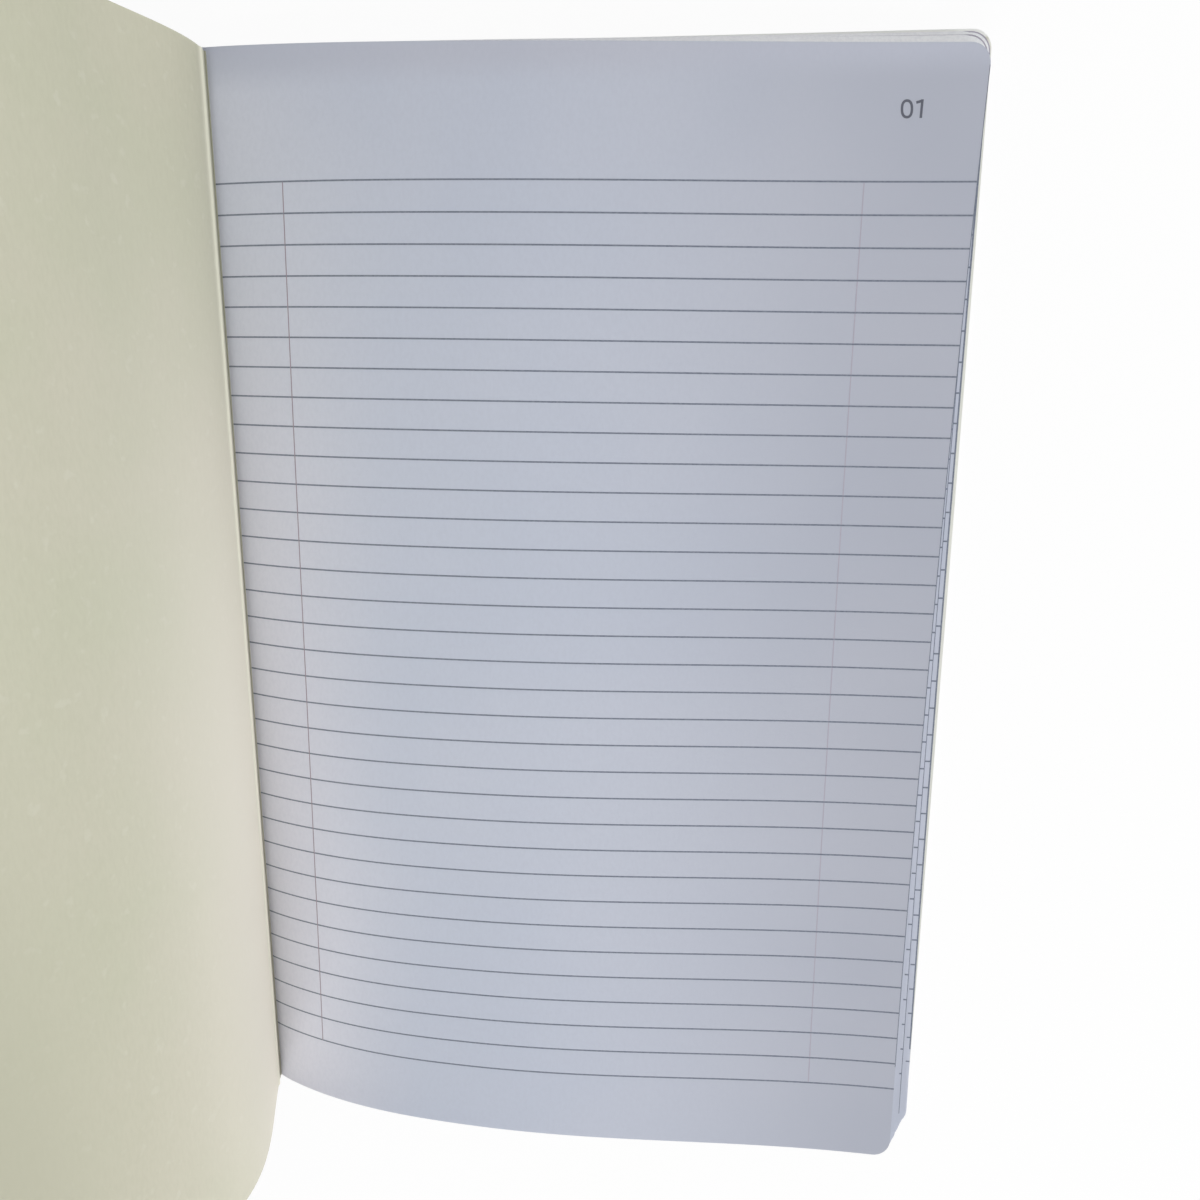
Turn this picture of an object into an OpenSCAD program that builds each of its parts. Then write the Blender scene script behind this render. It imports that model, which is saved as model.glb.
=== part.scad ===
// Open softcover notebook, lying on its back cover with the front cover standing up.
// X runs from the spine to the fore edge, Y up the page, Z away from the table.
// The origin is the middle of the back cover's underside.

/* [Pages] */
// Width of a leaf, from the spine to the fore edge
leaf_w = 143.2; // [90:0.1:220]
// Height of a leaf
leaf_h = 215.9; // [140:0.1:300]
// Thickness of the pressed pages at the spine
block_t = 4; // [3:0.1:10]
// Radius of the corners at the fore edge of a leaf
corner_r = 3.5; // [1:0.1:12]

/* [Page bulge] */
// Height of the bulge of the open pages above the pressed pages
bulge_h = 6.5; // [2:0.1:10]
// Distance from the hinge of the front cover to the crest of the bulge
crest_x = 46; // [25:0.5:60]
// How sharply the pages leave the hinge
rise_power = 2.6; // [1.5:0.1:4]
// Distance from the end of the bulge to the fore edge
tail_w = 1.5; // [0.5:0.1:10]

/* [Page fan] */
// Number of groups of leaves that lie fanned
fan_groups = 4; // [2:1:4]
// Turn of the top leaves in their own plane
fan_turn = 1.2; // [0:0.05:2]
// How much of the turn only the uppermost leaves take
fan_ease = 2; // [1:0.1:3]
// How far the bottom leaves reach beyond the top ones at the fore edge
fan_reach = 2.9; // [0.5:0.1:4]
// Lift of the top leaves at their lower fore-edge corner
corner_lift = 8.8; // [0:0.1:10]
// How much of the lift keeps to the lower end of the page
lift_power = 2.9; // [1.5:0.1:4]
// Air between two groups of leaves at the crest
air_h = 0.7; // [0.2:0.05:1]
// Air between two groups of leaves at the fore edge
air_edge = 0.15; // [0.1:0.01:0.3]
// Length of leaf held tight at the spine, before the air begins
held_w = 9; // [5:0.5:20]

/* [Cover card] */
// Thickness of the cover card
card_t = 0.4; // [0.3:0.05:0.8]
// How far the covers reach beyond the leaves at the fore edge
cover_reach = 0.7; // [0.3:0.1:3]
// How far the covers reach beyond the leaves at the top and bottom
cover_lap = 1; // [0.1:0.1:3]
// Width of the front flap that is glued to the first leaf
flap_w = 2.5; // [1.5:0.1:8]
// Thickness of the glue along the spine
glue_t = 0.3; // [0.2:0.05:1]
// Clearance between a cover and the card that it folds away from
fold_gap = 0.05; // [0.02:0.01:0.2]

/* [Standing front cover] */
// Lean of the front cover towards the pages where it leaves the hinge
lean_start = 13; // [0:1:25]
// Lean that the front cover tends to at its free end
lean_end = -65; // [-80:1:-20]
// Length over which the lean changes
lean_length = 125; // [60:1:200]
// How far the top and bottom edges of the front cover are wrung apart
wring = 5.7; // [0:0.1:8]
// Length of cover over which the wring grows
wring_w = 35; // [20:1:80]
// Distance from the hinge to the pressed bead along the cover
bead_at = 2.4; // [2:0.1:12]
// Height of the pressed bead
bead_h = 0.25; // [0:0.05:0.6]
// Width of the pressed bead
bead_w = 1.6; // [1:0.1:3]

/* [Hidden] */
$fn = 48;

paper_color = [0.93, 0.93, 0.95];
card_color = [0.80, 0.80, 0.68];
glue_color = [0.90, 0.87, 0.76];

cover_h = leaf_h + 2 * cover_lap;
spine_w = block_t + 2 * card_t;
total_w = card_t + glue_t + leaf_w + cover_reach;
spine_x = -total_w / 2;
leaf_x = spine_x + card_t + glue_t;
hinge_x = leaf_x + flap_w;
fore_x = leaf_x + leaf_w;
page_top = card_t + block_t;
bulge_w = leaf_w - flap_w - fan_reach - tail_w;

// Cells of the curved sheets: along a leaf past the hinge, up it, and round a corner
leaf_cells = 34;
y_cells = 10;
corner_cells = 5;
// How much closer together the cells lie near the hinge
cell_ease = 1.3;
// How soon past the hinge the lift of the corner sets in
lift_ease = 2 / 3;
// Depth by which two groups run into each other where they are held
held_lap = 0.05;
// Length over which the air opens past the held stretch
air_start = 3;

// Part of the full bulge at a distance from the hinge
function bulge(d) =
    d <= 0 ? 0 :
    d < crest_x ? 1 - pow(1 - d / crest_x, rise_power) :
    d < bulge_w ? pow(cos(90 * (d - crest_x) / (bulge_w - crest_x)), 2) : 0;

// Part of the full lift, which grows towards the lower end and the fore edge
function lift(d, y) =
    d <= 0 ? 0 : pow(max(0, 0.5 - y / leaf_h), lift_power) * pow(d / (leaf_w - flap_w), lift_ease);

// Level of the share of the page block that lies below a point
function level(share, d, y) =
    card_t + share * (block_t + bulge_h * bulge(d) + corner_lift * lift(d, y));

// Air under a group of leaves, or less than none where the leaves are held
function air(d) =
    let (t = min(1, max(0, d - held_w) / (leaf_w - flap_w - held_w)))
    let (open = min(1, max(0, d - held_w) / air_start))
    open * (air_edge + held_lap) - held_lap + air_h * pow(sin(180 * t), 2);

// Faces of a closed shell round two sheets of m by n cells, the second sheet behind the first
function shell_faces(m, n) =
    let (row = n + 1, back = (m + 1) * (n + 1), last = m * (n + 1))
    concat(
        [for (i = [0 : m - 1]) for (j = [0 : n - 1]) let (p = i * row + j)
            each [[p, p + row, p + 1], [p + 1, p + row, p + row + 1]]],
        [for (i = [0 : m - 1]) for (j = [0 : n - 1]) let (p = back + i * row + j)
            each [[p + 1, p + row, p], [p + row + 1, p + row, p + 1]]],
        [for (j = [0 : n - 1])
            each [[j, j + 1, j + back], [j + 1, j + 1 + back, j + back]]],
        [for (j = [last : last + n - 1])
            each [[j + 1, j, j + back], [j + 1, j + back, j + 1 + back]]],
        [for (i = [0 : m - 1]) let (p = i * row)
            each [[p, p + back, p + row], [p + row, p + back, p + row + back]]],
        [for (i = [0 : m - 1]) let (p = i * row + n)
            each [[p + back, p, p + row], [p + back, p + row, p + row + back]]]
    );

function turned_over(faces) = [for (f = faces) [f[2], f[1], f[0]]];

// How far a round corner has drawn in at corner cell c, across and along the sheet
function corner_in(c) = corner_r * (1 - cos(90 * c / corner_cells));
function corner_out(c) = corner_r * (1 - sin(90 * c / corner_cells));

// Distance along a leaf of width w from its spine edge to cell i, at height v up it, turned by an angle:
// the spine edge, then the hinge and the leaf's run beyond it, then the round corner
function leaf_along(i, v, w, turn) =
    let (held = (flap_w - v * sin(turn)) / cos(turn), run = w - corner_r - held)
    i == 0 ? -v * tan(turn) :
    i <= leaf_cells + 1 ? held + run * pow((i - 1) / leaf_cells, cell_ease) :
    w - corner_out(i - 1 - leaf_cells);

// Point of fan group k at cell i along it and cell j up it, on its upper (1) or lower (0) face
function leaf_point(k, i, j, upper) =
    let (rest = 1 - k / (fan_groups - 1), turn = fan_turn * pow(rest, fan_ease))
    let (v = (2 * j / y_cells - 1) * (leaf_h / 2 - corner_in(max(0, i - 1 - leaf_cells))))
    let (u = leaf_along(i, v, leaf_w - fan_reach * rest, turn))
    let (x = leaf_x + u * cos(turn) + v * sin(turn), y = v * cos(turn) - u * sin(turn))
    let (d = x - hinge_x, share = 1 - (k + 1 - upper) / fan_groups)
    [x, y, level(share, d, y) + (upper == 1 || share == 0 ? 0 : air(d))];

// All leaves as one solid, fanned in groups that only the spine holds together
module page_block() {
    cells = 1 + leaf_cells + corner_cells;
    color(paper_color)
        for (k = [0 : fan_groups - 1])
            polyhedron(
                [for (upper = [1, 0]) for (i = [0 : cells]) for (j = [0 : y_cells])
                    leaf_point(k, i, j, upper)],
                turned_over(shell_faces(cells, y_cells)));
}

// Stands an outline drawn in X and Z upright and centres it along Y
module along_page(length) {
    translate([0, length / 2, 0])
        rotate([90, 0, 0])
            linear_extrude(length)
                children();
}

// Film of glue between the pressed edges of the leaves and the card
module spine_glue() {
    color(glue_color)
        translate([spine_x + card_t, -leaf_h / 2, card_t])
            cube([glue_t, leaf_h, block_t]);
}

// Spine of the cover with the front flap that is glued on the first leaf
module spine_card() {
    color(card_color) {
        along_page(cover_h)
            polygon([
                [spine_x, 0],
                [spine_x + card_t, 0],
                [spine_x + card_t, page_top],
                [hinge_x, page_top],
                [hinge_x, page_top + card_t],
                [spine_x, page_top + card_t]
            ]);
    }
}

// Flat card with rounded corners at its free edge
module back_cover() {
    root_x = spine_x + card_t + fold_gap;
    free_x = fore_x + cover_reach;
    color(card_color)
        linear_extrude(card_t) {
            translate([root_x, -cover_h / 2])
                square([free_x - corner_r - root_x, cover_h]);
            translate([root_x, -cover_h / 2 + corner_r])
                square([free_x - root_x, cover_h - 2 * corner_r]);
            for (side = [-1, 1])
                translate([free_x - corner_r, side * (cover_h / 2 - corner_r)])
                    circle(corner_r);
        }
}

root_r = card_t / 2;
front_w = fore_x + cover_reach - hinge_x;
front_axis_z = page_top + card_t + fold_gap + root_r;
path_step = 3;
bead_cells = 8;

// Distances along the front cover: close together over the bead and at the rounded corners
root_steps = [for (a = [75, 40, 0]) -root_r * sin(a)];
bead_from = bead_at - bead_w / 2;
bead_steps = [for (i = [0 : bead_cells]) bead_from + i * bead_w / bead_cells];
plain_from = bead_from + 3 / 2 * bead_w;
plain_to = front_w - corner_r;
plain_n = ceil((plain_to - plain_from) / path_step);
plain_steps = [for (i = [0 : plain_n]) plain_from + (plain_to - plain_from) * i / plain_n];
corner_steps = [for (c = [1 : corner_cells]) front_w - corner_out(c)];
s_all = concat(root_steps, [bead_from / 2], bead_steps, plain_steps, corner_steps);
s_last = len(s_all) - 1;

// Angle from upright, towards the pages, at distance s from the hinge
function lean(s) = lean_end + (lean_start - lean_end) * exp(-max(0, s) / lean_length);

// Middle line of the card in X and Z, added up from point i in short steps
function front_path(i, x, z) =
    i > s_last ? [] :
    let (ds = i == 0 ? s_all[0] : s_all[i] - s_all[i - 1])
    let (a = lean(i == 0 ? 0 : (s_all[i] + s_all[i - 1]) / 2))
    let (nx = x + ds * sin(a))
    let (nz = z + ds * cos(a))
    concat([[nx, nz]], front_path(i + 1, nx, nz));

front_line = front_path(0, 0, 0);

// Half of the card, rounded off where it turns on the hinge
function half_card(s) = s < 0 ? sqrt(root_r * root_r - s * s) : root_r;

// Height of the pressed bead, raised on the inside and sunk on the outside
function bead(s) =
    abs(s - bead_at) >= bead_w / 2 ? 0 : bead_h * pow(cos(180 * (s - bead_at) / bead_w), 2);

// Shift of the top and bottom edges, which grows smoothly along the cover and then stays
function wrung(s) =
    let (t = min(1, max(0, s / wring_w)))
    wring * t * t * (3 - 2 * t);

// Half the height of the card, less where its free corners are round
function half_height(i) = cover_h / 2 - corner_in(max(0, i - s_last + corner_cells));

// Point of the card at step i along it and cell j up it, on its inner (1) or outer (-1) face
function front_point(i, j, face) =
    let (s = s_all[i])
    let (y = (2 * j / y_cells - 1) * half_height(i))
    let (out = face * half_card(s) + bead(s))
    let (shift = wrung(s) * y / (cover_h / 2))
    [front_line[i][0] + out * cos(lean(s)) - shift, y, front_line[i][1] - out * sin(lean(s))];

// Thin curved card that turns on its rounded root, wrung a little between its top and bottom
module front_cover() {
    color(card_color)
        translate([hinge_x - root_r, 0, front_axis_z])
            polyhedron(
                [for (face = [1, -1]) for (i = [0 : s_last]) for (j = [0 : y_cells])
                    front_point(i, j, face)],
                shell_faces(s_last, y_cells));
}

page_block();
spine_glue();
spine_card();
back_cover();
front_cover();
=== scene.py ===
"""Dresses an open, softcover composition notebook that lies on a white table."""

import bpy
import numpy as np
from mathutils import Matrix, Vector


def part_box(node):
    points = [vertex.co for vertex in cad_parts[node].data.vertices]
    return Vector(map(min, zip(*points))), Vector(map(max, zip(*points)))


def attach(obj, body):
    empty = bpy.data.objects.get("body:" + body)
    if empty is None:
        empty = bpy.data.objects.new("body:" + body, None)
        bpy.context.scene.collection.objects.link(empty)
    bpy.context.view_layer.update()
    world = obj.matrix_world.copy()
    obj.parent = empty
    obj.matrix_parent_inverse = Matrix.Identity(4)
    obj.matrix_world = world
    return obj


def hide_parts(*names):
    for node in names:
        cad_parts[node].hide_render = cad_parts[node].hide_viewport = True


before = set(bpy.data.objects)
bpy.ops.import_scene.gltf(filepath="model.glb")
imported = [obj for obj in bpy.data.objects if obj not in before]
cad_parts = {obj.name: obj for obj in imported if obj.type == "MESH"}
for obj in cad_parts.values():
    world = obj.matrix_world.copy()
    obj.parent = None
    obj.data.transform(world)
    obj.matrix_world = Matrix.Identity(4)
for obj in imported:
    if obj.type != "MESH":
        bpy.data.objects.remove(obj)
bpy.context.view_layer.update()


# Viewpoint. A hand-held camera about 20 cm over the open page, tipped a little
# towards the lower left corner of the notebook.
SENSOR_MM, LENS_MM, NEAREST_SEEN = 36.0, 30.812, 0.01
CAMERA_RIGHT = (0.99558243, 0.00382261, -0.09381371)
CAMERA_UP = (-0.02447055, 0.97520347, -0.21995313)
CAMERA_BACK = (0.09064666, 0.22127715, 0.97098898)
CAMERA_PLACE = (0.0226160, 0.0509314, 0.2031247)
viewpoint = bpy.data.cameras.new("viewpoint")
viewpoint.sensor_width = SENSOR_MM
viewpoint.lens = LENS_MM
viewpoint.clip_start = NEAREST_SEEN
viewpoint_object = bpy.data.objects.new("viewpoint", viewpoint)
bpy.context.scene.collection.objects.link(viewpoint_object)
axes_turned = Matrix((CAMERA_RIGHT, CAMERA_UP, CAMERA_BACK)).transposed().to_4x4()
viewpoint_object.matrix_world = Matrix.Translation(CAMERA_PLACE) @ axes_turned
bpy.context.scene.camera = viewpoint_object
bpy.context.scene.view_settings.view_transform = "Standard"


# Table. A plain white sheet, larger than any view, on which the notebook casts
# only a faint soft shadow.
MM = 0.001
TABLE_HALF = 3000.0
TABLE_TONE = (0.93, 0.93, 0.93, 1.0)
WHITE_SHARE = 0.93
SHARP_ABOVE = 30


def make_piece(name, points, quads, finish):
    """Makes a mesh object from points in millimetres and quads of point numbers.

    Faces that meet at less than SHARP_ABOVE degrees are shaded as one smooth surface.
    """
    mesh = bpy.data.meshes.new(name)
    mesh.from_pydata((points * MM).tolist(), [], quads.tolist())
    mesh.update()
    mesh.polygons.foreach_set("use_smooth", np.ones(len(mesh.polygons), bool))
    mesh.set_sharp_from_angle(angle=np.radians(SHARP_ABOVE))
    mesh.materials.append(finish.material)
    piece = bpy.data.objects.new(name, mesh)
    bpy.context.scene.collection.objects.link(piece)
    return piece


class Socket:
    """A node's output, which adds a Math node wherever it stands in a Python expression."""

    def __init__(self, finish, output):
        self.finish = finish
        self.output = output

    def math(self, operation, first, *others):
        return self.finish.node("ShaderNodeMath", {"operation": operation}, first, *others)

    def __add__(self, other):
        return self.math("ADD", self, other)

    def __radd__(self, other):
        return self.math("ADD", other, self)

    def __sub__(self, other):
        return self.math("SUBTRACT", self, other)

    def __rsub__(self, other):
        return self.math("SUBTRACT", other, self)

    def __mul__(self, other):
        return self.math("MULTIPLY", self, other)

    def __rmul__(self, other):
        return self.math("MULTIPLY", other, self)

    def __pow__(self, other):
        return self.math("POWER", self, other)

    def larger(self, other):
        return self.math("MAXIMUM", self, other)


class Finish:
    """A material whose nodes are written as expressions; node() adds any one node."""

    def __init__(self, name, roughness, specular):
        self.material = bpy.data.materials.new(name)
        self.material.use_nodes = True
        self.tree = self.material.node_tree
        self.shader = self.tree.nodes["Principled BSDF"]
        self.shader.inputs["Roughness"].default_value = roughness
        self.shader.inputs["Specular IOR Level"].default_value = specular

    def node(self, kind, settings, *values, out=0, **named):
        node = self.tree.nodes.new(kind)
        for setting, value in settings.items():
            setattr(node, setting, value)
        self.fill(list(zip(node.inputs, values)))
        self.fill([(node.inputs[name], value) for name, value in named.items()])
        return Socket(self, node.outputs[out])

    def fill(self, sockets):
        """Links or sets each of some pairs of a node's input and its value."""
        for socket, value in sockets:
            if isinstance(value, Socket):
                self.tree.links.new(value.output, socket)
            else:
                socket.default_value = value

    def place(self):
        """Where a point lies on the piece, in metres."""
        return self.node("ShaderNodeTexCoord", {}, out=3)

    def coordinate(self, vector, axis):
        """One coordinate of a place: 0 for x, 1 for y and 2 for z."""
        return self.node("ShaderNodeSeparateXYZ", {}, vector, out=axis)

    def stretched(self, vector, x, y, z):
        """The place with each axis scaled, which draws a pattern out along the least scaled one."""
        return self.node("ShaderNodeVectorMath", {"operation": "MULTIPLY"}, vector, (x, y, z))

    def noise(self, vector, scale, detail, rough=0.5):
        return self.node("ShaderNodeTexNoise", {}, Vector=vector, Scale=scale, Detail=detail, Roughness=rough)

    def ramp(self, value, low, high, to_low=0.0, to_high=1.0):
        """A smooth step of value, from to_low below low to to_high above high."""
        return self.node("ShaderNodeMapRange", {"interpolation_type": "SMOOTHSTEP"},
                         value, low, high, to_low, to_high)

    def mix(self, factor, first, second):
        """A colour between two, by factor."""
        node = self.node("ShaderNodeMix", {"data_type": "RGBA"}).output.node
        self.fill([(node.inputs[0], factor), (node.inputs[6], first), (node.inputs[7], second)])
        return Socket(self, node.outputs[2])

    def set(self, name, value):
        self.tree.links.new(value.output, self.shader.inputs[name])

    def emboss(self, height, depth):
        """Bumps the surface by height, a value from 0 to 1 that stands for depth metres."""
        self.set("Normal", self.node("ShaderNodeBump", {}, Strength=1.0, Distance=depth, Height=height))


def tone(red, green, blue):
    """The linear colour of a screen colour given from 0 to 255."""
    screen = np.array([red, green, blue]) / 255
    return (*np.where(screen <= 0.04045, screen / 12.92, ((screen + 0.055) / 1.055) ** 2.4).tolist(), 1.0)


table_top = Finish("white_table_top", 0.9, 0.1)
table_top.shader.inputs["Base Color"].default_value = TABLE_TONE
rays = table_top.node("ShaderNodeLightPath", {}).output.node
seen = Socket(table_top, rays.outputs["Is Camera Ray"])
for ray in ("Is Glossy Ray", "Is Transmission Ray"):
    seen = seen.larger(Socket(table_top, rays.outputs[ray]))
white = table_top.node("ShaderNodeEmission", {}, (1, 1, 1, 1), 1.0)
lit = Socket(table_top, table_top.shader.outputs[0])
shown = table_top.node("ShaderNodeMixShader", {}, seen * WHITE_SHARE, lit, white)
table_top.tree.links.new(shown.output, table_top.tree.nodes["Material Output"].inputs["Surface"])
table_points = TABLE_HALF * np.array([[-1, -1, 0], [1, -1, 0], [1, 1, 0], [-1, 1, 0]])
table = make_piece("table", table_points, np.array([[0, 1, 2, 3]]), table_top)


# Light. Four soft boxes, in front, to the right, behind and overhead, and a pale
# surround, at a level where a colour shows about as it is written.
SURROUND_STRENGTH = 0.2
surround = bpy.data.worlds.new("surround")
surround.use_nodes = True
background = surround.node_tree.nodes["Background"]
background.inputs["Color"].default_value = (1, 1, 1, 1)
background.inputs["Strength"].default_value = SURROUND_STRENGTH
bpy.context.scene.world = surround
SOFT_BOXES = (
    ("front_box", (0.0, -0.85, 0.6), 0.5, 5.0),
    ("right_box", (0.9, -0.1, 0.32), 0.5, 5.0),
    ("rear_box", (0.1, 0.9, 0.5), 0.5, 1.6),
    ("overhead_box", (0.15, 0.1, 0.95), 0.8, 2.0),
)
for name, place, size, power in SOFT_BOXES:
    lamp = bpy.data.lights.new(name, "AREA")
    lamp.size = size
    lamp.energy = power
    lamp_object = bpy.data.objects.new(name, lamp)
    bpy.context.scene.collection.objects.link(lamp_object)
    lamp_object.location = place
    lamp_object.rotation_mode = "QUATERNION"
    lamp_object.rotation_quaternion = lamp_object.location.to_track_quat("Z", "Y")


# Back cover. Thin card, plain sage cream, cut with rounded corners; it lies flat
# and only a hair of it shows past the leaves. The card carries painted shade in the
# crease of its fold and far from the fold towards the foot, painted light beside the
# fold and on the rim of the back cover, and a painted highlight on the bead.
FOLD_LINE = (-0.0692, 0.0051)
SAGE, CREAM_SAGE, FIBRE_TONE, SPECK_TONE = (
    tone(193, 194, 171), tone(199, 196, 177), tone(181, 180, 158), tone(208, 207, 191))
# Tones of painted light beside the fold and on the rim, painted shade far from the fold and in its crease,
# and a painted highlight on the bead.
FOLD_PAINTED_LIGHT_TONE, FAR_PAINTED_SHADE_TONE, BEAD_PAINTED_HIGHLIGHT_TONE = tone(241, 235, 220), tone(178, 177, 157), tone(232, 230, 212)
FOLD_PAINTED_SHADE_TONE, RIM_PAINTED_LIGHT_TONE = tone(138, 137, 116), tone(248, 249, 246)


def dress(node, finish):
    """Gives a solid of the frame its finish."""
    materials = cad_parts[node].data.materials
    materials.clear()
    materials.append(finish.material)


card = Finish("cover_card", 0.72, 0.35)
card_place = card.place()
card_cloud = card.noise(card_place, 22.0, 4.0)
card_fibre = card.noise(card.stretched(card_place, 1.0, 0.35, 1.0), 1600.0, 3.0, 0.6)
card_speck = card.noise(card_place, 420.0, 2.0)
card_tone = card.mix(card.ramp(card_cloud, 0.3, 0.7), SAGE, CREAM_SAGE)
card_tone = card.mix(card.ramp(card_fibre, 0.3, 0.75, 0.0, 0.22), card_tone, FIBRE_TONE)
card_tone = card.mix(card.ramp(card_speck, 0.6, 0.75, 0.0, 0.35), card_tone, SPECK_TONE)
card_across = card.coordinate(card_place, 0) - FOLD_LINE[0]
card_along = card.coordinate(card_place, 1)
card_above = card.coordinate(card_place, 2) - FOLD_LINE[1]
from_fold = (card_across * card_across + card_above * card_above) ** 0.5
# Painted light: the card is lighter near the fold, more towards the foot.
fold_painted_light = card.ramp(from_fold, 0.008, 0.06, 1.0, 0.0) * card.ramp(card_along, -0.045, 0.11, 0.9, 0.0)
card_tone = card.mix(fold_painted_light, card_tone, FOLD_PAINTED_LIGHT_TONE)
# Painted shade: the card is darker far from the fold, towards the foot.
far_painted_shade = card.ramp(from_fold, 0.05, 0.085) * card.ramp(card_along, -0.08, 0.03, 0.95, 0.0)
card_tone = card.mix(far_painted_shade, card_tone, FAR_PAINTED_SHADE_TONE)
# Painted highlight on the bead beside the fold.
bead_painted_highlight = card.ramp(from_fold, 0.0009, 0.0018) * card.ramp(from_fold, 0.0028, 0.0045, 0.6, 0.0)
card_tone = card.mix(bead_painted_highlight, card_tone, BEAD_PAINTED_HIGHLIGHT_TONE)
# Painted shade in the crease of the fold.
card_tone = card.mix(card.ramp(from_fold, 0.0003, 0.0010, 0.7, 0.0), card_tone, FOLD_PAINTED_SHADE_TONE)
# Painted light on the rim of the back cover.
rim_painted_light = card.ramp(card_across, 0.1402, 0.1411, 0.0, 0.55).larger(card.ramp(card_along, 0.1071, 0.1080))
rim_painted_light = rim_painted_light * card.ramp(card_above, -0.0046, -0.0043, 1.0, 0.0)
card_tone = card.mix(rim_painted_light, card_tone, RIM_PAINTED_LIGHT_TONE)
card.set("Base Color", card_tone)
card.set("Roughness", card.ramp(card_speck, 0.3, 0.7, 0.68, 0.8))
card.emboss(card_fibre, 0.00002)
dress("back_cover", card)


# Binding glue. A thin cream film between the leaves' edges and the spine, which
# shows only at its two ends.
glue = Finish("binding_glue", 0.4, 0.5)
glue_film = glue.noise(glue.place(), 900.0, 4.0)
glue.set("Base Color", glue.mix(glue_film, tone(206, 196, 160), tone(232, 224, 196)))
glue.emboss(glue_film, 0.00008)
dress("spine_glue", glue)


# Leaves. Forty sheets of white writing paper a tenth of a millimetre thick, held
# at the spine; they bulge up from it, and lie fanned in four groups.
LEAF_W, LEAF_H, CORNER_R, FLAP_W = 143.2, 215.9, 3.5, 2.5
CARD_T, BLOCK_T, BULGE_H, CREST_X, RISE_POWER, TAIL_W = 0.4, 4.0, 6.5, 46.0, 2.6, 1.5
FAN_GROUPS, FAN_TURN, FAN_EASE, FAN_SHORT = 4, 1.2, 2.0, (2.9, 1.93, 0.49, 0.45)
LOWER_SPREAD_POWER = 3.0
CORNER_LIFT, LIFT_POWER, LIFT_EASE = 8.8, 2.9, 2 / 3
UPPER_FALL, FALL_POWER, UPPER_LIFT, UPPER_POWER = 4.17, 4.89, 2.64, 5.69
AIR_H, AIR_EDGE, HELD_W, AIR_START = 0.7, 0.15, 9.0, 3.0
LEAVES_IN_GROUP, PAPER_T, PAPER_GAP, CARD_GAP, UNEVEN = 10, 0.1, 0.02, 0.03, 0.25
FIRST_LEAF_CELLS, LOWER_LEAF_CELLS, CROWDING = (96, 60, 10), (44, 20, 6), 1.3
CLOUD_TONE, GRAIN_TONE = tone(222, 220, 226), tone(180, 184, 198)
HINGE_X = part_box("spine_card")[1].x / MM
LEAF_X = HINGE_X - FLAP_W


def bulge(d):
    """Part of the full bulge at distance d from the hinge.

    It rises to the crest as one less a power of the share still to go, and falls as a squared cosine.
    """
    rise = 1 - np.clip(1 - d / CREST_X, 0, 1) ** RISE_POWER
    run = LEAF_W - FLAP_W - FAN_SHORT[0] - TAIL_W - CREST_X
    fall = np.cos(np.pi / 2 * np.clip((d - CREST_X) / run, 0, 1)) ** 2
    return np.where(d <= 0, 0, np.where(d < CREST_X, rise, fall))


def crown(y):
    """Height of the full bulge at y: it falls towards the upper edge with a power of the height share."""
    return BULGE_H - UPPER_FALL * np.clip(0.5 + y / LEAF_H, 0, None) ** FALL_POWER


def level(share, d, y):
    """Height of the given share of the block.

    It is the card and that share of the pressed leaves, the bulge and the lift of the two corners. Each
    lift grows with a power of the height share towards its edge and with a power of the width share.
    """
    lift = CORNER_LIFT * np.clip(0.5 - y / LEAF_H, 0, None) ** LIFT_POWER
    lift = lift + UPPER_LIFT * np.clip(0.5 + y / LEAF_H, 0, None) ** UPPER_POWER
    lift = lift * np.clip(d / (LEAF_W - FLAP_W), 0, None) ** LIFT_EASE
    return CARD_T + share * (BLOCK_T + crown(y) * bulge(d) + lift)


def air(d, y):
    """Air under a fan group: a thin gap past the held stretch, and a squared sine more where it bulges."""
    past = np.clip(d - HELD_W, 0, None)
    across = np.clip(past / (LEAF_W - FLAP_W - HELD_W), 0, 1)
    edge = np.clip(past / AIR_START, 0, 1) * AIR_EDGE
    return edge + AIR_H * crown(y) / BULGE_H * np.sin(np.pi * across) ** 2


def turned(group, number):
    """Turn in radians of a leaf, number leaves below the top of its group: it dies away with a power."""
    rest = np.clip(1 - (group + number / LEAVES_IN_GROUP) / (FAN_GROUPS - 1), 0, 1)
    return np.radians(FAN_TURN * rest ** FAN_EASE)


def leaf_width(group, number, v):
    """Width of a leaf at v up it: a group's leaves end together, and spread to the next group at the foot."""
    foot = np.clip(-2 * v / LEAF_H, 0, 1) ** LOWER_SPREAD_POWER
    step = FAN_SHORT[min(group + 1, FAN_GROUPS - 1)] - FAN_SHORT[group]
    return LEAF_W - FAN_SHORT[group] - step * foot * number / LEAVES_IN_GROUP


def on_leaf(group, number, u, v):
    """Place of a point u along and v up a leaf, number leaves below the top of its fan group.

    The leaf is turned in its plane about the middle of its spine edge, then laid on its level, which
    lies a share of the way from the top of the group to its underside.
    """
    turn = turned(group, number)
    x = LEAF_X + u * np.cos(turn) + v * np.sin(turn)
    y = v * np.cos(turn) - u * np.sin(turn)
    d = x - HINGE_X
    upper = level(1 - group / FAN_GROUPS, d, y)
    under = level(1 - (group + 1) / FAN_GROUPS, d, y)
    under = under + (air(d, y) if group < FAN_GROUPS - 1 else CARD_GAP)
    return np.stack([x, y, upper + (under - upper) * number / LEAVES_IN_GROUP], -1)


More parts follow.
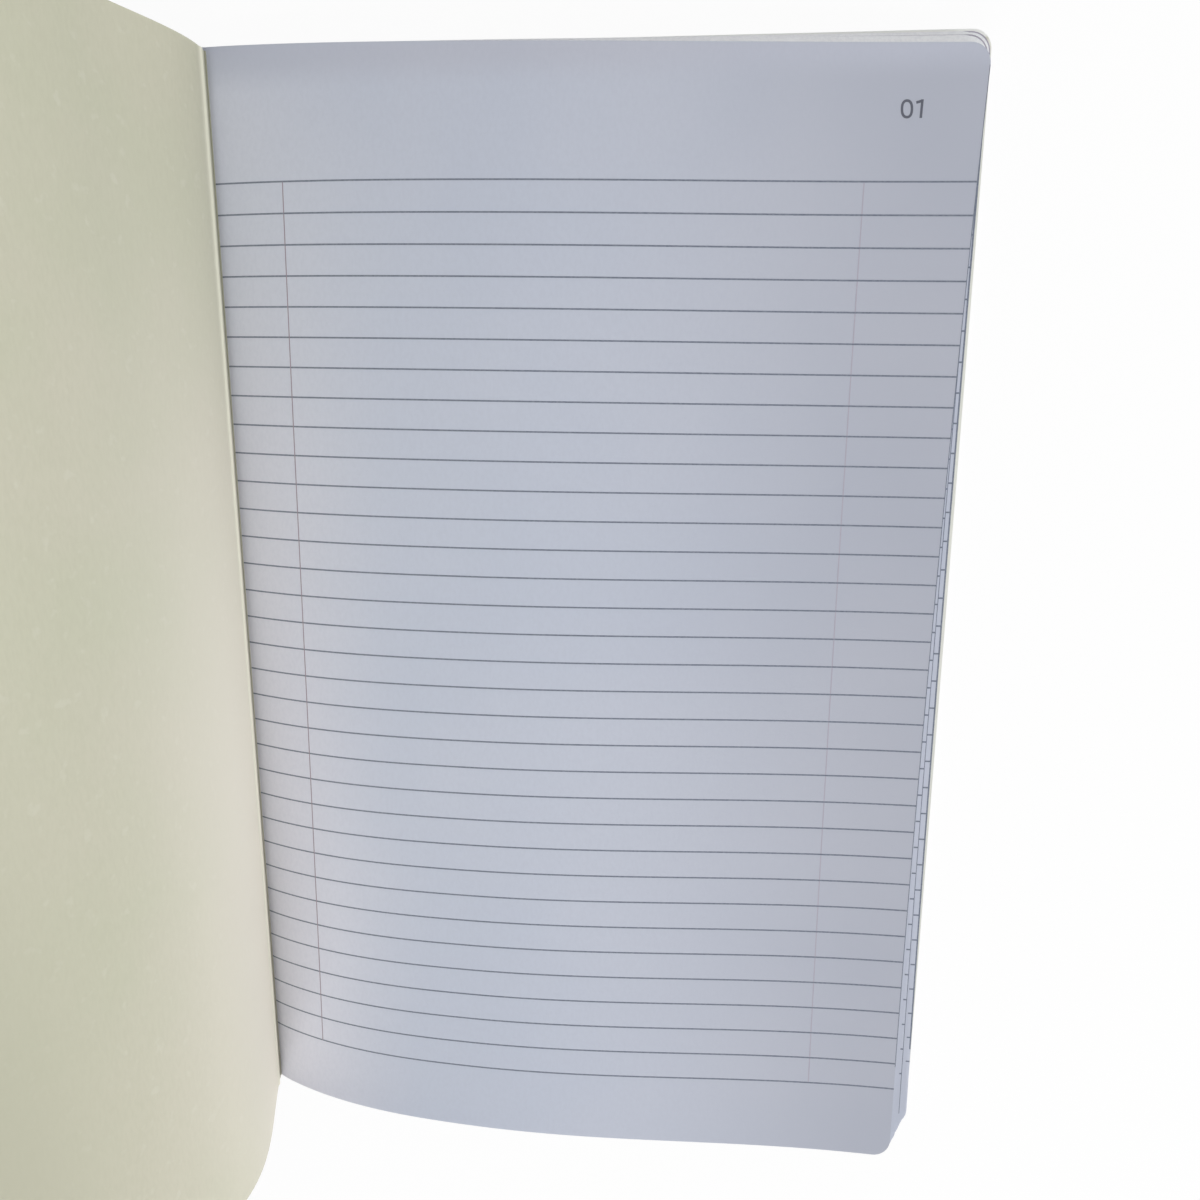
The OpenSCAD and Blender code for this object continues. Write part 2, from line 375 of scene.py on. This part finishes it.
def leaf_grid(group, number, short, along, up, round_cells):
    """Grid of points over one leaf, with its rounded corners as narrowing last columns.

    Columns start at the spine edge, then run from the hinge line to the corners with a power that
    crowds them at the hinge; each column's rows are spread over what the corner leaves of the height.
    """
    turn = turned(group, number)
    quarter = np.radians(90) * np.arange(1, round_cells + 1) / round_cells
    drawn_in = np.concatenate([np.zeros(along + 2), CORNER_R * (1 - np.cos(quarter))])
    v = np.linspace(-1, 1, up + 1)[None, :] * (LEAF_H / 2 - drawn_in)[:, None]
    width = leaf_width(group, number, v) - short
    held = (FLAP_W - v * np.sin(turn)) / np.cos(turn)
    share = (np.arange(along + 1) / along) ** CROWDING
    u = np.concatenate([
        -v[:1] * np.tan(turn),
        held[1:along + 2] + (width[1:along + 2] - CORNER_R - held[1:along + 2]) * share[:, None],
        width[along + 2:] - CORNER_R * (1 - np.sin(quarter))[:, None],
    ])
    return on_leaf(group, number, u, v)


def closed_shell(upper, lower):
    """Points and quads of a solid between two grids of points: the grids and the four walls between them."""
    rows, columns = upper.shape[:2]
    top = np.arange(rows * columns).reshape(rows, columns)
    low = top + rows * columns

    def cells(a, b, c, d):
        return np.stack([a, b, c, d], -1).reshape(-1, 4)

    quads = [
        cells(top[:-1, :-1], top[1:, :-1], top[1:, 1:], top[:-1, 1:]),
        cells(low[:-1, :-1], low[:-1, 1:], low[1:, 1:], low[1:, :-1]),
        cells(top[0, 1:], low[0, 1:], low[0, :-1], top[0, :-1]),
        cells(top[-1, :-1], low[-1, :-1], low[-1, 1:], top[-1, 1:]),
        cells(top[:-1, 0], low[:-1, 0], low[1:, 0], top[1:, 0]),
        cells(top[1:, -1], low[1:, -1], low[:-1, -1], top[:-1, -1]),
    ]
    return np.concatenate([upper.reshape(-1, 3), lower.reshape(-1, 3)]), np.concatenate(quads)


def closed_sheet(upper, thickness):
    """A closed shell between a grid of points and its copy below."""
    return closed_shell(upper, upper - np.array([0, 0, thickness]))


def joined(parts):
    """Several pairs of points and quads as one pair."""
    starts = np.cumsum([0] + [len(points) for points, _ in parts[:-1]])
    quads = [quads + start for (_, quads), start in zip(parts, starts)]
    return np.concatenate([points for points, _ in parts]), np.concatenate(quads)


def writing_paper(name, middle, gutter, outer, head):
    """Paper with a fine grain and faint clouds, with painted light in the gutter, painted shade towards the
    fore edge and its own tone at the head.
    """
    paper = Finish(name, 0.88, 0.25)
    place = paper.place()
    across, along = paper.coordinate(place, 0), paper.coordinate(place, 1)
    cloud = paper.noise(place, 14.0, 3.0)
    grain = paper.noise(paper.stretched(place, 1.0, 0.6, 1.0), 1500.0, 4.0, 0.65)
    # Painted shade towards the fore edge, and painted light in the gutter, more towards the foot.
    colour = paper.mix(paper.ramp(across, -0.01, 0.065), middle, outer)
    painted_gutter_light = paper.ramp(across, -0.068, -0.032, 1.0, 0.0) * paper.ramp(along, -0.03, 0.09, 0.9, 0.4)
    colour = paper.mix(painted_gutter_light, colour, gutter)
    # The head band takes the head tone, which on the lower leaves is painted light.
    colour = paper.mix(paper.ramp(along, 0.099, 0.105), colour, head)
    colour = paper.mix(paper.ramp(cloud, 0.35, 0.65, 0.0, 0.12), colour, CLOUD_TONE)
    colour = paper.mix(paper.ramp(grain, 0.35, 0.7, 0.0, 0.16), colour, GRAIN_TONE)
    paper.set("Base Color", colour)
    paper.emboss(grain, 0.000012)
    return paper


# The page's paper: painted light in the gutter and painted shade towards the fore edge.
page_paper = writing_paper("page_paper", tone(193, 199, 214), tone(213, 213, 223), tone(179, 183, 196),
                           tone(189, 193, 207))
# The lower leaves' paper is a lighter copy of the page's, painted light for leaves that lie in shade, near
# white at the head.
leaf_paper_painted_light = writing_paper("leaf_paper_painted_light", tone(212, 216, 228), tone(226, 227, 232), tone(192, 197, 210),
                           tone(252, 253, 255))
first_sheet = closed_sheet(leaf_grid(0, 0, 0, *FIRST_LEAF_CELLS), PAPER_T - PAPER_GAP)
first_leaf = make_piece("first_leaf", *first_sheet, page_paper)
shortness = np.random.default_rng(7).uniform(0.0, UNEVEN, (FAN_GROUPS, LEAVES_IN_GROUP))
shortness[:, 0] = 0
lower_leaves = [
    closed_sheet(leaf_grid(group, number, shortness[group, number], *LOWER_LEAF_CELLS), PAPER_T - PAPER_GAP)
    for group in range(FAN_GROUPS) for number in range(LEAVES_IN_GROUP) if group + number > 0
]
leaves = make_piece("leaves", *joined(lower_leaves), leaf_paper_painted_light)
for piece in (first_leaf, leaves):
    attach(piece, "pages")
    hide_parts("page_block")


# Spine. The same card as the covers, scored twice and wrapped round the back of
# the leaves, with a narrow flap glued on the first leaf.
SPINE_X, SPINE_ROUND, SPINE_TURN_CELLS, SPINE_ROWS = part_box("spine_card")[0].x / MM, 0.05, 8, 33
SPINE_FOOT, SPINE_HEAD = -LEAF_H / 2 - 0.2, LEAF_H / 2 - 0.7


def spine_face(out):
    """Profile of the spine, out from its inside: up its back, round a quarter turn and along the flap."""
    turn = np.radians(90) * np.arange(SPINE_TURN_CELLS + 1) / SPINE_TURN_CELLS
    middle_x, middle_z = SPINE_X + CARD_T + SPINE_ROUND, CARD_T + BLOCK_T - SPINE_ROUND
    x = middle_x - (SPINE_ROUND + out) * np.cos(turn)
    z = middle_z + (SPINE_ROUND + out) * np.sin(turn)
    return np.concatenate([[x[0]], x, [HINGE_X]]), np.concatenate([[0], z, [z[-1]]])


spine_y = np.linspace(SPINE_FOOT, SPINE_HEAD, SPINE_ROWS)
spine_grids = []
for out in (CARD_T, 0.0):
    face_x, face_z = spine_face(out)
    spine_grids.append(np.stack(np.broadcast_arrays(face_x[:, None], spine_y[None, :], face_z[:, None]), -1))
spine = make_piece("spine", *closed_shell(*spine_grids), card)
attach(spine, "pages")
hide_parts("spine_card")


# Front cover. The same card as the back, standing on its fold with a soft curve,
# wrung a little, and pressed into a narrow bead beside the fold.
COVER_FOOT, COVER_HEAD, COVER_REACH, FOLD_GAP = -LEAF_H / 2 - 0.4, LEAF_H / 2 - 0.85, 0.7, 0.05
LEAN_START, LEAN_END, LEAN_LENGTH = 13.0, -65.0, 125.0
WRING, WRING_W, BEAD_AT, BEAD_H, BEAD_W = 5.7, 35.0, 2.4, 0.25, 1.6
COVER_W = LEAF_W - FLAP_W + COVER_REACH
ROOT_R = CARD_T / 2
LINE_STEPS, BEAD_CELLS, COVER_CELLS, COVER_CORNER_CELLS, COVER_ROWS = 1500, 20, 90, 10, 49


def lean(s):
    """Angle of the cover from upright, towards the pages, which dies away along it as an exponential."""
    return np.radians(LEAN_END + (LEAN_START - LEAN_END) * np.exp(-np.clip(s, 0, None) / LEAN_LENGTH))


def front_face(s, t, face):
    """Point of the cover at distance s from its fold and height share t, on its inner or outer face.

    The middle line sums up short steps of sine and cosine of the lean; the faces stand off it by half
    the card and the bead, and the upper and lower edges are shifted apart by the wring.
    """
    fine = np.concatenate([[-ROOT_R], np.linspace(0, COVER_W, LINE_STEPS)])
    angle = lean((fine[1:] + fine[:-1]) / 2)
    line_x = np.concatenate([[0], np.cumsum(np.sin(angle) * np.diff(fine))]) - ROOT_R * np.sin(lean(0))
    line_z = np.concatenate([[0], np.cumsum(np.cos(angle) * np.diff(fine))]) - ROOT_R * np.cos(lean(0))
    half = np.where(s < 0, np.sqrt(np.clip(ROOT_R ** 2 - s ** 2, 0, None)), ROOT_R)
    near = np.clip((s - BEAD_AT) / BEAD_W, -0.5, 0.5)
    out = face * half + BEAD_H * np.cos(np.pi * near) ** 2
    grown = np.clip(s / WRING_W, 0, 1)
    shift = WRING * grown * grown * (3 - 2 * grown) * t
    x = HINGE_X - ROOT_R + np.interp(s, fine, line_x) + out * np.cos(lean(s)) - shift
    z = CARD_T + BLOCK_T + CARD_T + FOLD_GAP + ROOT_R + np.interp(s, fine, line_z) - out * np.sin(lean(s))
    return x, z


quarter = np.radians(90) * np.arange(1, COVER_CORNER_CELLS + 1) / COVER_CORNER_CELLS
along_cover = np.concatenate([
    -ROOT_R * np.sin(np.radians([89, 60, 30])),
    np.linspace(0, BEAD_AT - BEAD_W / 2, 6),
    BEAD_AT + BEAD_W * (np.arange(1, BEAD_CELLS + 1) / BEAD_CELLS - 0.5),
    np.linspace(BEAD_AT + 0.7 * BEAD_W, COVER_W - CORNER_R, COVER_CELLS),
    COVER_W - CORNER_R * (1 - np.sin(quarter)),
])
straight_edge = np.zeros(len(along_cover) - COVER_CORNER_CELLS)
corner_drop = np.concatenate([straight_edge, CORNER_R * (1 - np.cos(quarter))])
half_cover = (COVER_HEAD - COVER_FOOT) / 2
cover_t = np.linspace(-1, 1, COVER_ROWS)[None, :] * (1 - corner_drop / half_cover)[:, None]
cover_s = np.repeat(along_cover[:, None], COVER_ROWS, 1)
cover_y = (COVER_HEAD + COVER_FOOT) / 2 + cover_t * half_cover
inner_x, inner_z = front_face(cover_s, cover_t, 1)
outer_x, outer_z = front_face(cover_s, cover_t, -1)
front_points, front_quads = closed_shell(
    np.stack([outer_x, cover_y, outer_z], -1), np.stack([inner_x, cover_y, inner_z], -1))
front = make_piece("standing_cover", front_points, front_quads[:, ::-1], card)
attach(front, "front_cover")
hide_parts("front_cover")


# Ruling. Thirty-three fine grey lines and two paler margin lines, printed across
# the page to its edge, and shown as films of ink on the paper. Narrow bands of the
# same inks are painted shade along the cut edges of the leaves, which end one on another.
LINE_COUNT, LINE_PITCH, FIRST_LINE, PRINT_TURN = 33, 5.586, 22.876, 0.638
LINE_W, MARGIN_W, HEAD_EDGE_W = 0.3, 0.2, 0.2
LEFT_MARGIN, RIGHT_MARGIN, TURN_POINT = 13.326, 119.174, 70
LOWER_LINE_REACH, LINE_CELL, LINE_CROWDING = 9.0, 1.2, 1.6
FORE_EDGE_SHADES = ((0, -88.0, 0.12), (1, -102.0, 0.12), (2, -90.0, 0.3))
HEAD_EDGE_RUN, HEAD_EDGE_CELLS, EDGE_CORNER_CELLS, EDGE_ROWS = 90, 59, 10, 120
INK_LIFT = 0.02
PRINT_SLOPE = np.tan(np.radians(PRINT_TURN))


def printing_ink(name, dark, pale, blotchy=False):
    """Matt ink whose fine grain runs between two tones, more sharply where it is blotchy."""
    finish = Finish(name, 0.8, 0.3)
    grain = finish.noise(finish.place(), 2600.0, 3.0, 0.6)
    finish.set("Base Color", finish.mix(finish.ramp(grain, 0.35, 0.7) if blotchy else grain, dark, pale))
    return finish


def leaf_film(group, number, u, v):
    """A film over a grid of u and v on a leaf, a hair above the paper and closed below it, which carries the
    print and, along cut edges, painted shade.
    """
    points = on_leaf(group, number, u, v) + np.array([0, 0, INK_LIFT])
    return closed_sheet(points, 1.5 * INK_LIFT)


def ruled_lines(group, number, from_u):
    """Lines across a leaf, from from_u or else the flap to its fore edge, all turned a little on the leaf."""
    turn = turned(group, number)
    films = []
    for line in range(LINE_COUNT):
        middle = LEAF_H / 2 - FIRST_LINE - LINE_PITCH * line
        width = leaf_width(group, number, middle)
        start = from_u if from_u else (FLAP_W - middle * np.sin(turn)) / np.cos(turn)
        share = np.linspace(0, 1, 2 + int((width - start) / LINE_CELL))[:, None] + np.zeros((1, 2))
        u = start + (width - start) * share ** LINE_CROWDING
        v = middle + (u - TURN_POINT) * PRINT_SLOPE + LINE_W * np.array([[-0.5, 0.5]])
        films.append(leaf_film(group, number, u, v))
    return films


def margin_line(at):
    """One line down the page between the first and the last ruled line."""
    below_first = np.linspace(0, LINE_PITCH * (LINE_COUNT - 1), EDGE_ROWS)[None, :] + np.zeros((2, 1))
    v = LEAF_H / 2 - FIRST_LINE - below_first
    v = v[:, ::-1] + (at - TURN_POINT) * PRINT_SLOPE
    u = FLAP_W + at - v * PRINT_SLOPE + MARGIN_W * np.array([[-0.5], [0.5]])
    return leaf_film(0, 0, u, v)


def fore_edge_shade(group, foot, width):
    """A narrow band of painted shade along the fore edge of a group's top leaf, from foot up to its upper
    corner.
    """
    v = np.linspace(foot, LEAF_H / 2 - CORNER_R, EDGE_ROWS)[None, :] + np.zeros((2, 1))
    u = leaf_width(group, 0, v) - width * np.array([[1.0], [0.0]])
    return leaf_film(group, 0, u, v)


def head_edge_shade(group):
    """A narrow band of painted shade round the upper corner of a group's top leaf and along its head towards
    the spine.
    """
    turn = np.radians(90) * np.arange(EDGE_CORNER_CELLS + 1) / EDGE_CORNER_CELLS
    radius = CORNER_R - HEAD_EDGE_W * np.array([[1.0], [0.0]])
    corner_u = leaf_width(group, 0, LEAF_H / 2) - CORNER_R
    run = np.linspace(0, HEAD_EDGE_RUN, HEAD_EDGE_CELLS + 1)[1:]
    u = corner_u + np.concatenate([radius * np.cos(turn), -run + np.zeros((2, 1))], 1)
    v = LEAF_H / 2 - CORNER_R + np.concatenate([radius * np.sin(turn), radius + np.zeros(HEAD_EDGE_CELLS)], 1)
    return leaf_film(group, 0, u, v)


# The ruling ink also serves as painted shade along the leaves' fore edges.
ink = printing_ink("ruling_ink_and_edge_shade", tone(114, 121, 136), tone(134, 140, 153), blotchy=True)
ruling = make_piece("ruling", *joined(ruled_lines(0, 0, 0.0)), ink)
margin_ink = printing_ink("margin_ink", tone(146, 134, 146), tone(163, 150, 160))
left_margin = make_piece("left_margin_line", *margin_line(LEFT_MARGIN), margin_ink)
lower_lines = []
for group in (1, 2):
    lower_lines += ruled_lines(group, 0, LEAF_W - FAN_SHORT[group] - LOWER_LINE_REACH)
lower_ruling = make_piece("lower_ruling", *joined(lower_lines), ink)
# Painted shade: dark bands along the fore edges of the top three groups.
painted_edge_shade = make_piece("painted_edge_shade", *joined([fore_edge_shade(*edge) for edge in FORE_EDGE_SHADES]), ink)
# The faint ink prints the right margin line and also serves as painted shade along the heads of the lower
# groups.
faint_ink_and_shade = printing_ink("faint_margin_ink_and_head_shade", tone(171, 167, 181), tone(181, 175, 189))
right_margin = make_piece("right_margin_line", *margin_line(RIGHT_MARGIN), faint_ink_and_shade)
# Painted shade: pale bands along the heads of groups one and two.
painted_head_shade = make_piece("painted_head_shade", *joined([head_edge_shade(1), head_edge_shade(2)]), faint_ink_and_shade)
for piece in (ruling, left_margin, lower_ruling, painted_edge_shade, right_margin, painted_head_shade):
    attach(piece, "pages")


# Page number. Two plain figures in the same grey ink, in the upper outer corner
# of the first page.
FIGURE_H, FIGURE_STROKE, FIGURE_V = 3.05, 0.43, 97.51
ZERO_U, ZERO_W, ZERO_SLANT, ZERO_FULLNESS, ZERO_POINTS = 127.01, 2.13, 0.08, 0.85, 64
ONE_U, ONE_FOOT, ONE_HEAD, ONE_POINTS = 129.5, -0.47, 0.5, 12
FLAG_W, FLAG_FALL, FLAG_POINTS = 1.0, 0.3, 6
figure_ink = printing_ink("figure_ink", tone(92, 94, 106), tone(108, 110, 121))


def figure_stroke(path_u, path_v, closed):
    """A stroke of even width along a path on the first leaf: each point spread along the path's normal."""
    path = np.stack([path_u, path_v], -1)
    if closed:
        along = np.roll(path, -1, 0) - np.roll(path, 1, 0)
    else:
        along = np.gradient(path, axis=0)
    side = np.stack([-along[:, 1], along[:, 0]], -1) / np.linalg.norm(along, axis=1)[:, None]
    grid = path[None, :, :] + side[None, :, :] * FIGURE_STROKE * np.array([0.5, -0.5])[:, None, None]
    if closed:
        grid = np.concatenate([grid, grid[:, :1]], 1)
    return leaf_film(0, 0, grid[..., 0], grid[..., 1])


round_turn = np.radians(np.linspace(0, 360, ZERO_POINTS + 1)[:-1])
bend = np.stack([np.cos(round_turn), np.sin(round_turn)])
bend = np.sign(bend) * np.abs(bend) ** ZERO_FULLNESS
zero_v = FIGURE_V + (FIGURE_H - FIGURE_STROKE) / 2 * bend[1]
zero_u = ZERO_U + (ZERO_W - FIGURE_STROKE) / 2 * bend[0] - ZERO_SLANT * (zero_v - FIGURE_V)
one_v = FIGURE_V + np.linspace(ONE_FOOT, ONE_HEAD, ONE_POINTS) * FIGURE_H
flag = np.linspace(0, 1, FLAG_POINTS)
flag_v = FIGURE_V + FIGURE_H / 2 - FIGURE_STROKE / 2 - FLAG_FALL * FLAG_W * flag
figures = [
    figure_stroke(zero_u, zero_v, True),
    figure_stroke(np.full(ONE_POINTS, ONE_U), one_v, False),
    figure_stroke(ONE_U - FLAG_W * flag, flag_v, False),
]
number = make_piece("page_number", *joined(figures), figure_ink)
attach(number, "pages")
